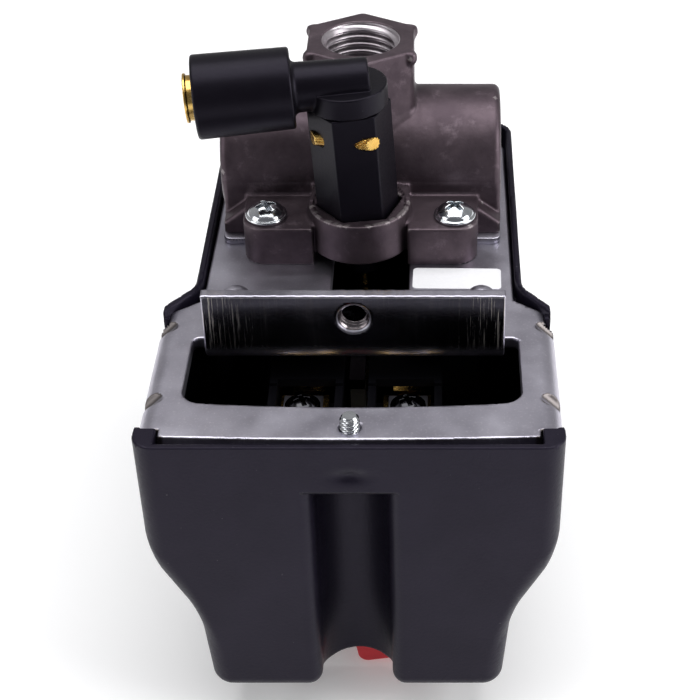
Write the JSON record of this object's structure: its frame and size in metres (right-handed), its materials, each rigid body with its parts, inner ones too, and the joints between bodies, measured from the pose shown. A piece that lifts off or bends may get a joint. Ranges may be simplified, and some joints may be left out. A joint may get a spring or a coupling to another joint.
{
  "type": "pressure switch",
  "caption": "Compressor pressure switch: die-cast port block on a zinc-plated base plate, hexagonal unloader valve with a push-in elbow, black cover and red lever.",
  "frame": {"origin": "centre of the main port's mouth", "axes": "+Z out of the main port, -Y towards the cable opening and the cover's front wall, +X to the right seen from the front; the switch lies cover down"},
  "size_m": [0.067, 0.1012, 0.0999],
  "materials": {
    "zinc_plate": "bright zinc plate, brushed on the tab",
    "casting": "dark grey-brown die casting, fine mottle",
    "screw_steel": "bright zinc-plated screws",
    "cover_plastic": "satin black moulded plastic",
    "valve_plastic": "satin black glass-filled nylon",
    "block_plastic": "dull black phenolic",
    "carrier_plastic": "cream thermoset",
    "lever_plastic": "red moulded plastic",
    "label_paper": "white sticker with no print",
    "brass": "bright machined brass",
    "copper": "copper alloy contact strip",
    "rubber": "black nitrile rubber",
    "spring_steel": "spring wire"
  },
  "bodies": {
    "housing": {"base_plate": "zinc_plate", "clamp_plate": "zinc_plate", "manifold": "casting", "manifold_screws": "screw_steel", "manifold_nuts": "screw_steel", "cover": "cover_plastic", "cover_screw": "screw_steel", "cover_post": "zinc_plate", "label": "label_paper", "block_rivets": "zinc_plate", "contact_block": "block_plastic", "fixed_contacts": "brass", "terminal_clamps": "zinc_plate", "terminal_screws": "screw_steel", "ground_screw": "screw_steel", "ground_washer": "zinc_plate", "diaphragm": "rubber", "cage": "zinc_plate", "pivot_pin": "screw_steel", "range_spring": "spring_steel", "range_stud": "screw_steel", "range_nut": "brass", "contact_springs": "spring_steel", "lever_pin": "screw_steel", "unloader_body": "valve_plastic", "elbow_pins": "brass", "unloader_spring": "spring_steel"},
    "elbow": {"elbow": "valve_plastic", "elbow_oring": "rubber", "tube_oring": "rubber"},
    "collet": {"collet": "brass"},
    "piston": {"piston": "zinc_plate"},
    "rocker": {"rocker": "zinc_plate", "spring_cup": "zinc_plate"},
    "carrier": {"contact_carrier": "carrier_plastic", "moving_contacts": "copper"},
    "stem": {"unloader_stem": "brass", "unloader_seal": "rubber"},
    "lever": {"lever": "lever_plastic"}
  },
  "joints": [
    {"name": "elbow_swivel", "type": "hinge", "parent": "housing", "child": "elbow", "pos_m": [-0.00125, -0.0181, -0.00872], "axis": [-0.0523, 0, 0.9986], "range_deg": [-25, 190]},
    {"name": "collet_release", "type": "slide", "parent": "elbow", "child": "collet", "axis": [0.9922, 0.1132, 0.052], "range_m": [0, 0.001]},
    {"name": "piston_travel", "type": "slide", "parent": "housing", "child": "piston", "axis": [0, 0, -1], "range_m": [0, 0.0008], "stiffness_N_per_m": 60000},
    {"name": "rocker_tilt", "type": "hinge", "parent": "housing", "child": "rocker", "pos_m": [0, 0.0164, -0.0447], "axis": [1, 0, 0], "range_deg": [0, 3.08], "deforming": ["range_spring"]},
    {"name": "contact_travel", "type": "slide", "parent": "housing", "child": "carrier", "axis": [0, 0, -1], "range_m": [0, 0.00324], "deforming": ["contact_springs"]},
    {"name": "stem_travel", "type": "slide", "parent": "housing", "child": "stem", "axis": [0.0523, 0, -0.9986], "range_m": [0, 0.00185], "deforming": ["unloader_spring"]},
    {"name": "lever_swing", "type": "hinge", "parent": "housing", "child": "lever", "pos_m": [0, -0.0611, -0.0647], "axis": [0, 1, 0], "range_deg": [0, 19]}
  ],
  "couplings": [
    {"joint": "rocker_tilt", "follows": "piston_travel", "rad_per_m": 66.667},
    {"joint": "contact_travel", "follows": "piston_travel", "ratio": 4.0333},
    {"joint": "stem_travel", "follows": "piston_travel", "ratio": 2.3}
  ]
}
